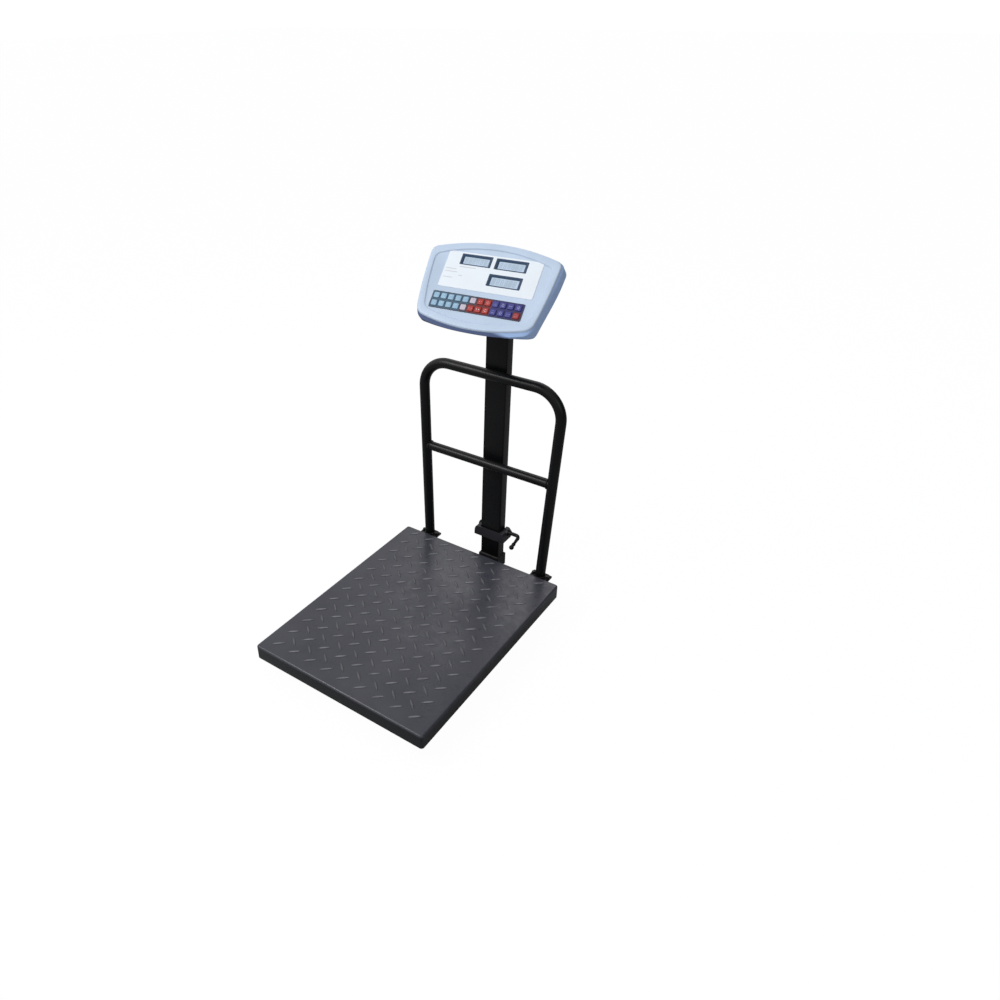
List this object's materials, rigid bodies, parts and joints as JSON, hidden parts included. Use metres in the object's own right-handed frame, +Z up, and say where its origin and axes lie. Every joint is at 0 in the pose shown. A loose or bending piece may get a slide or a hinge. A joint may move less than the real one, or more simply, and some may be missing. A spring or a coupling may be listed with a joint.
{
  "type": "animal weighing scale",
  "caption": "Floor weighing platform with a tread-plate top, a tubular guard rail and a folding column that carries a tilting indicator head with displays and keys.",
  "frame": {"origin": "on the floor, under the middle of the whole scale; the middle of the weighing platform is 35.2 mm in front of it", "axes": "+Z up; +Y from the platform to the column behind it; +X to the right of the person reading the display"},
  "size_m": [0.4, 0.572, 0.7563],
  "materials": {
    "tread_plate": "dark semi-gloss coating on raised-lug tread plate",
    "frame_black": "black powder coat",
    "black_gloss": "gloss black paint",
    "cast_grey": "dark grey paint on a casting",
    "steel": "zinc-plated fasteners",
    "aluminium": "milled",
    "cable_sheath": "flexible cable sheath",
    "black_plastic": "moulded, fine grain",
    "pale_blue": "moulded ABS, satin",
    "rear_blue": "moulded ABS, satin",
    "white_panel": "printed polycarbonate sheet",
    "keypad_ground": "printed membrane sheet",
    "board": "solder-masked circuit board",
    "lcd": "polarised display glass",
    "key_teal": "soft-touch key",
    "key_light": "soft-touch key",
    "key_red": "soft-touch key",
    "key_blue": "soft-touch key",
    "key_brown": "soft-touch key"
  },
  "bodies": {
    "base": {"base_frame": "frame_black", "load_cell": "aluminium", "cell_bolt_1": "steel", "cell_bolt_2": "steel", "battery": "black_plastic", "battery_strap": "steel", "load_cell_cable": "cable_sheath", "guard_rail": "black_gloss", "rail_bolt_1": "steel", "rail_bolt_2": "steel", "rail_bolt_3": "steel", "rail_bolt_4": "steel", "column_post": "black_gloss", "hinge_bracket": "cast_grey", "clamp_nut": "steel"},
    "platform": {"pan": "tread_plate", "upper_frame": "frame_black", "cell_bolt_3": "steel", "cell_bolt_4": "steel"},
    "column": {"column_tube": "black_gloss", "swivel_plug": "black_plastic"},
    "lever": {"clamp_lever": "black_gloss"},
    "swivel": {"swivel_bracket": "black_gloss", "tilt_bolt": "steel"},
    "head": {"front_housing": "pale_blue", "rear_housing": "rear_blue", "display_panel": "white_panel", "keypad_panel": "keypad_ground", "main_board": "board", "lcd_weight": "lcd", "lcd_unit_price": "lcd", "lcd_total_price": "lcd"},
    "levelling_foot_front_left": {"foot_front_left": "steel"},
    "levelling_foot_front_right": {"foot_front_right": "steel"},
    "levelling_foot_rear_left": {"foot_rear_left": "steel"},
    "levelling_foot_rear_right": {"foot_rear_right": "steel"},
    "key_top_01": {"key_top_01": "key_teal"},
    "key_top_02": {"key_top_02": "key_teal"},
    "key_top_03": {"key_top_03": "key_teal"},
    "key_top_04": {"key_top_04": "key_teal"},
    "key_top_05": {"key_top_05": "key_teal"},
    "key_top_06": {"key_top_06": "key_light"},
    "key_top_07": {"key_top_07": "key_red"},
    "key_top_08": {"key_top_08": "key_red"},
    "key_top_09": {"key_top_09": "key_blue"},
    "key_top_10": {"key_top_10": "key_blue"},
    "key_top_11": {"key_top_11": "key_blue"},
    "key_top_12": {"key_top_12": "key_blue"},
    "key_bottom_01": {"key_bottom_01": "key_teal"},
    "key_bottom_02": {"key_bottom_02": "key_teal"},
    "key_bottom_03": {"key_bottom_03": "key_teal"},
    "key_bottom_04": {"key_bottom_04": "key_teal"},
    "key_bottom_05": {"key_bottom_05": "key_light"},
    "key_bottom_06": {"key_bottom_06": "key_red"},
    "key_bottom_07": {"key_bottom_07": "key_red"},
    "key_bottom_08": {"key_bottom_08": "key_red"},
    "key_bottom_09": {"key_bottom_09": "key_blue"},
    "key_bottom_10": {"key_bottom_10": "key_blue"},
    "key_bottom_11": {"key_bottom_11": "key_blue"},
    "key_bottom_12": {"key_bottom_12": "key_brown"}
  },
  "joints": [
    {"name": "column_fold", "type": "hinge", "parent": "base", "child": "column", "pos_m": [0.004, 0.2713, 0.111], "axis": [-1, 0, 0], "range_deg": [0, 90]},
    {"name": "clamp_lever_turn", "type": "hinge", "parent": "base", "child": "lever", "pos_m": [0.004, 0.2713, 0.111], "axis": [1, 0, 0], "range_deg": [0, 180]},
    {"name": "head_swivel", "type": "hinge", "parent": "column", "child": "swivel", "pos_m": [0.004, 0.2658, 0.616], "axis": [0, 0, 1], "range_deg": [-51, 39]},
    {"name": "head_tilt", "type": "hinge", "parent": "swivel", "child": "head", "pos_m": [0.00559, 0.25089, 0.653], "axis": [0.9943, 0.1063, 0], "range_deg": [-15, 15]},
    {"name": "platform_travel", "type": "slide", "parent": "base", "child": "platform", "axis": [0, 0, -1], "range_m": [0, 0.0005], "stiffness_N_per_m": 300000, "springref_m": -0.0004},
    {"name": "levelling_foot_front_left", "type": "slide", "parent": "base", "child": "levelling_foot_front_left", "axis": [0, 0, -1], "range_m": [0, 0.008]},
    {"name": "levelling_foot_front_right", "type": "slide", "parent": "base", "child": "levelling_foot_front_right", "axis": [0, 0, -1], "range_m": [0, 0.008]},
    {"name": "levelling_foot_rear_left", "type": "slide", "parent": "base", "child": "levelling_foot_rear_left", "axis": [0, 0, -1], "range_m": [0, 0.008]},
    {"name": "levelling_foot_rear_right", "type": "slide", "parent": "base", "child": "levelling_foot_rear_right", "axis": [0, 0, -1], "range_m": [0, 0.008]},
    {"name": "key_top_01_press", "type": "slide", "parent": "head", "child": "key_top_01", "axis": [-0.0747, 0.6994, -0.7108], "range_m": [0, 0.0006], "stiffness_N_per_m": 300, "springref_m": -0.0005},
    {"name": "key_top_02_press", "type": "slide", "parent": "head", "child": "key_top_02", "axis": [-0.0747, 0.6994, -0.7108], "range_m": [0, 0.0006], "stiffness_N_per_m": 300, "springref_m": -0.0005},
    {"name": "key_top_03_press", "type": "slide", "parent": "head", "child": "key_top_03", "axis": [-0.0747, 0.6994, -0.7108], "range_m": [0, 0.0006], "stiffness_N_per_m": 300, "springref_m": -0.0005},
    {"name": "key_top_04_press", "type": "slide", "parent": "head", "child": "key_top_04", "axis": [-0.0747, 0.6994, -0.7108], "range_m": [0, 0.0006], "stiffness_N_per_m": 300, "springref_m": -0.0005},
    {"name": "key_top_05_press", "type": "slide", "parent": "head", "child": "key_top_05", "axis": [-0.0747, 0.6994, -0.7108], "range_m": [0, 0.0006], "stiffness_N_per_m": 300, "springref_m": -0.0005},
    {"name": "key_top_06_press", "type": "slide", "parent": "head", "child": "key_top_06", "axis": [-0.0747, 0.6994, -0.7108], "range_m": [0, 0.0006], "stiffness_N_per_m": 300, "springref_m": -0.0005},
    {"name": "key_top_07_press", "type": "slide", "parent": "head", "child": "key_top_07", "axis": [-0.0747, 0.6994, -0.7108], "range_m": [0, 0.0006], "stiffness_N_per_m": 300, "springref_m": -0.0005},
    {"name": "key_top_08_press", "type": "slide", "parent": "head", "child": "key_top_08", "axis": [-0.0747, 0.6994, -0.7108], "range_m": [0, 0.0006], "stiffness_N_per_m": 300, "springref_m": -0.0005},
    {"name": "key_top_09_press", "type": "slide", "parent": "head", "child": "key_top_09", "axis": [-0.0747, 0.6994, -0.7108], "range_m": [0, 0.0006], "stiffness_N_per_m": 300, "springref_m": -0.0005},
    {"name": "key_top_10_press", "type": "slide", "parent": "head", "child": "key_top_10", "axis": [-0.0747, 0.6994, -0.7108], "range_m": [0, 0.0006], "stiffness_N_per_m": 300, "springref_m": -0.0005},
    {"name": "key_top_11_press", "type": "slide", "parent": "head", "child": "key_top_11", "axis": [-0.0747, 0.6994, -0.7108], "range_m": [0, 0.0006], "stiffness_N_per_m": 300, "springref_m": -0.0005},
    {"name": "key_top_12_press", "type": "slide", "parent": "head", "child": "key_top_12", "axis": [-0.0747, 0.6994, -0.7108], "range_m": [0, 0.0006], "stiffness_N_per_m": 300, "springref_m": -0.0005},
    {"name": "key_bottom_01_press", "type": "slide", "parent": "head", "child": "key_bottom_01", "axis": [-0.0747, 0.6994, -0.7108], "range_m": [0, 0.0006], "stiffness_N_per_m": 300, "springref_m": -0.0005},
    {"name": "key_bottom_02_press", "type": "slide", "parent": "head", "child": "key_bottom_02", "axis": [-0.0747, 0.6994, -0.7108], "range_m": [0, 0.0006], "stiffness_N_per_m": 300, "springref_m": -0.0005},
    {"name": "key_bottom_03_press", "type": "slide", "parent": "head", "child": "key_bottom_03", "axis": [-0.0747, 0.6994, -0.7108], "range_m": [0, 0.0006], "stiffness_N_per_m": 300, "springref_m": -0.0005},
    {"name": "key_bottom_04_press", "type": "slide", "parent": "head", "child": "key_bottom_04", "axis": [-0.0747, 0.6994, -0.7108], "range_m": [0, 0.0006], "stiffness_N_per_m": 300, "springref_m": -0.0005},
    {"name": "key_bottom_05_press", "type": "slide", "parent": "head", "child": "key_bottom_05", "axis": [-0.0747, 0.6994, -0.7108], "range_m": [0, 0.0006], "stiffness_N_per_m": 300, "springref_m": -0.0005},
    {"name": "key_bottom_06_press", "type": "slide", "parent": "head", "child": "key_bottom_06", "axis": [-0.0747, 0.6994, -0.7108], "range_m": [0, 0.0006], "stiffness_N_per_m": 300, "springref_m": -0.0005},
    {"name": "key_bottom_07_press", "type": "slide", "parent": "head", "child": "key_bottom_07", "axis": [-0.0747, 0.6994, -0.7108], "range_m": [0, 0.0006], "stiffness_N_per_m": 300, "springref_m": -0.0005},
    {"name": "key_bottom_08_press", "type": "slide", "parent": "head", "child": "key_bottom_08", "axis": [-0.0747, 0.6994, -0.7108], "range_m": [0, 0.0006], "stiffness_N_per_m": 300, "springref_m": -0.0005},
    {"name": "key_bottom_09_press", "type": "slide", "parent": "head", "child": "key_bottom_09", "axis": [-0.0747, 0.6994, -0.7108], "range_m": [0, 0.0006], "stiffness_N_per_m": 300, "springref_m": -0.0005},
    {"name": "key_bottom_10_press", "type": "slide", "parent": "head", "child": "key_bottom_10", "axis": [-0.0747, 0.6994, -0.7108], "range_m": [0, 0.0006], "stiffness_N_per_m": 300, "springref_m": -0.0005},
    {"name": "key_bottom_11_press", "type": "slide", "parent": "head", "child": "key_bottom_11", "axis": [-0.0747, 0.6994, -0.7108], "range_m": [0, 0.0006], "stiffness_N_per_m": 300, "springref_m": -0.0005},
    {"name": "key_bottom_12_press", "type": "slide", "parent": "head", "child": "key_bottom_12", "axis": [-0.0747, 0.6994, -0.7108], "range_m": [0, 0.0006], "stiffness_N_per_m": 300, "springref_m": -0.0005}
  ]
}
